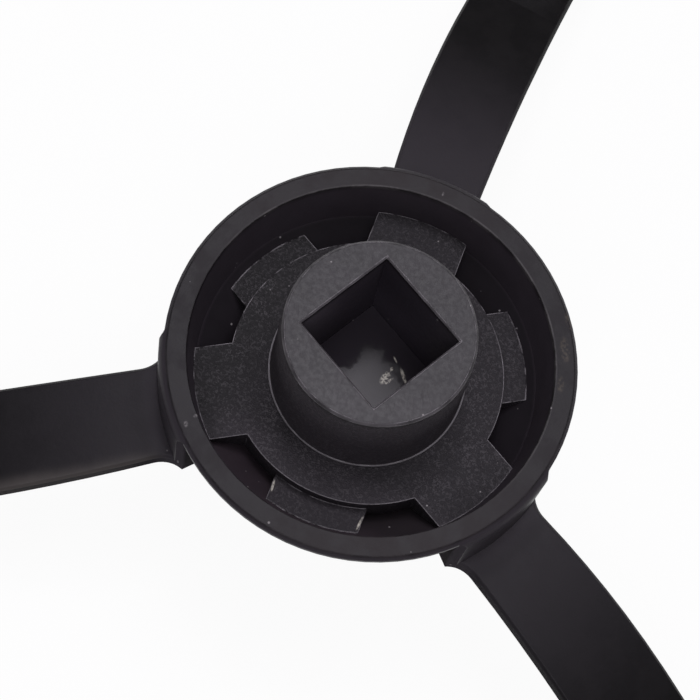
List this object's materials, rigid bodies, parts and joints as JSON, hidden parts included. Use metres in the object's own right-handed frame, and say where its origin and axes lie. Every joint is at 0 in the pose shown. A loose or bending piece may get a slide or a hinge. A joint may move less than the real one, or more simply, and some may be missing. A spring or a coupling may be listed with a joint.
{
  "type": "robot vacuum side brush",
  "caption": "Robot vacuum side brush: lobed core with a square drive socket in a soft bowl, whose drooping ribbon arms end in bristle tufts that sweep dirt inwards.",
  "frame": {"origin": "middle of the square drive socket's mouth, on the boss's top face and on the spin axis", "axes": "+Z along the spin axis, out of the socket; +X along one arm, with the socket's flats square to X and Y"},
  "size_m": [0.1218, 0.134, 0.0276],
  "materials": {
    "core_plastic": "near-black, fine spark-eroded grain, smooth on the boss",
    "soft_moulding": "near-black, smooth satin",
    "bristle_nylon": "black nylon filament"
  },
  "bodies": {
    "root": {"drive_core": "core_plastic", "soft_spider": "soft_moulding", "bristle_tuft_1": "bristle_nylon", "bristle_tuft_2": "bristle_nylon", "bristle_tuft_3": "bristle_nylon"}
  },
  "joints": []
}
